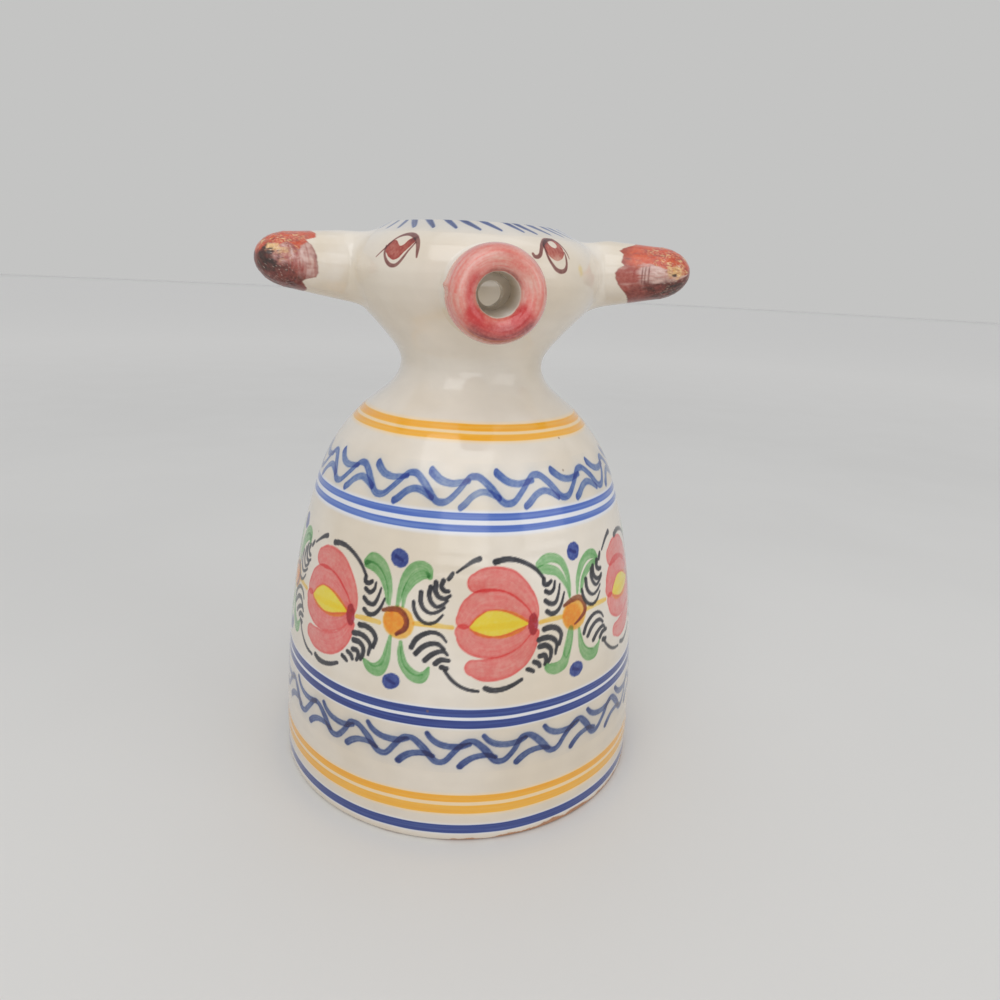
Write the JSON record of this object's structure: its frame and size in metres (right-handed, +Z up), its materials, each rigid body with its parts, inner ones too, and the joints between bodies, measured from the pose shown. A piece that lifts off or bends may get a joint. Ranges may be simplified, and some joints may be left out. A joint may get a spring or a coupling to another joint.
{
  "type": "bull-shaped pitcher",
  "caption": "Bull-shaped pitcher of tin-glazed earthenware: bell body, open head bowl filled from above, ring snout that pours, horns and a strap handle.",
  "frame": {"origin": "middle of the foot's resting plane, on the axis that the bell and the head were thrown on", "axes": "+Z up along the thrown axis, -Y towards the snout, +X towards the bull's left horn"},
  "size_m": [0.1674, 0.166, 0.2342],
  "materials": {
    "tin_glaze": "glossy warm white tin glaze with painted bands",
    "snout_glaze": "glossy brushed red",
    "horn_glaze": "semi-gloss red-brown, worn to bare clay at the tips"
  },
  "bodies": {
    "root": {"bell_body": "tin_glaze", "head_bowl": "tin_glaze", "handle_strap": "tin_glaze", "snout_ring": "snout_glaze", "horn_left": "horn_glaze", "horn_right": "horn_glaze"}
  },
  "joints": []
}
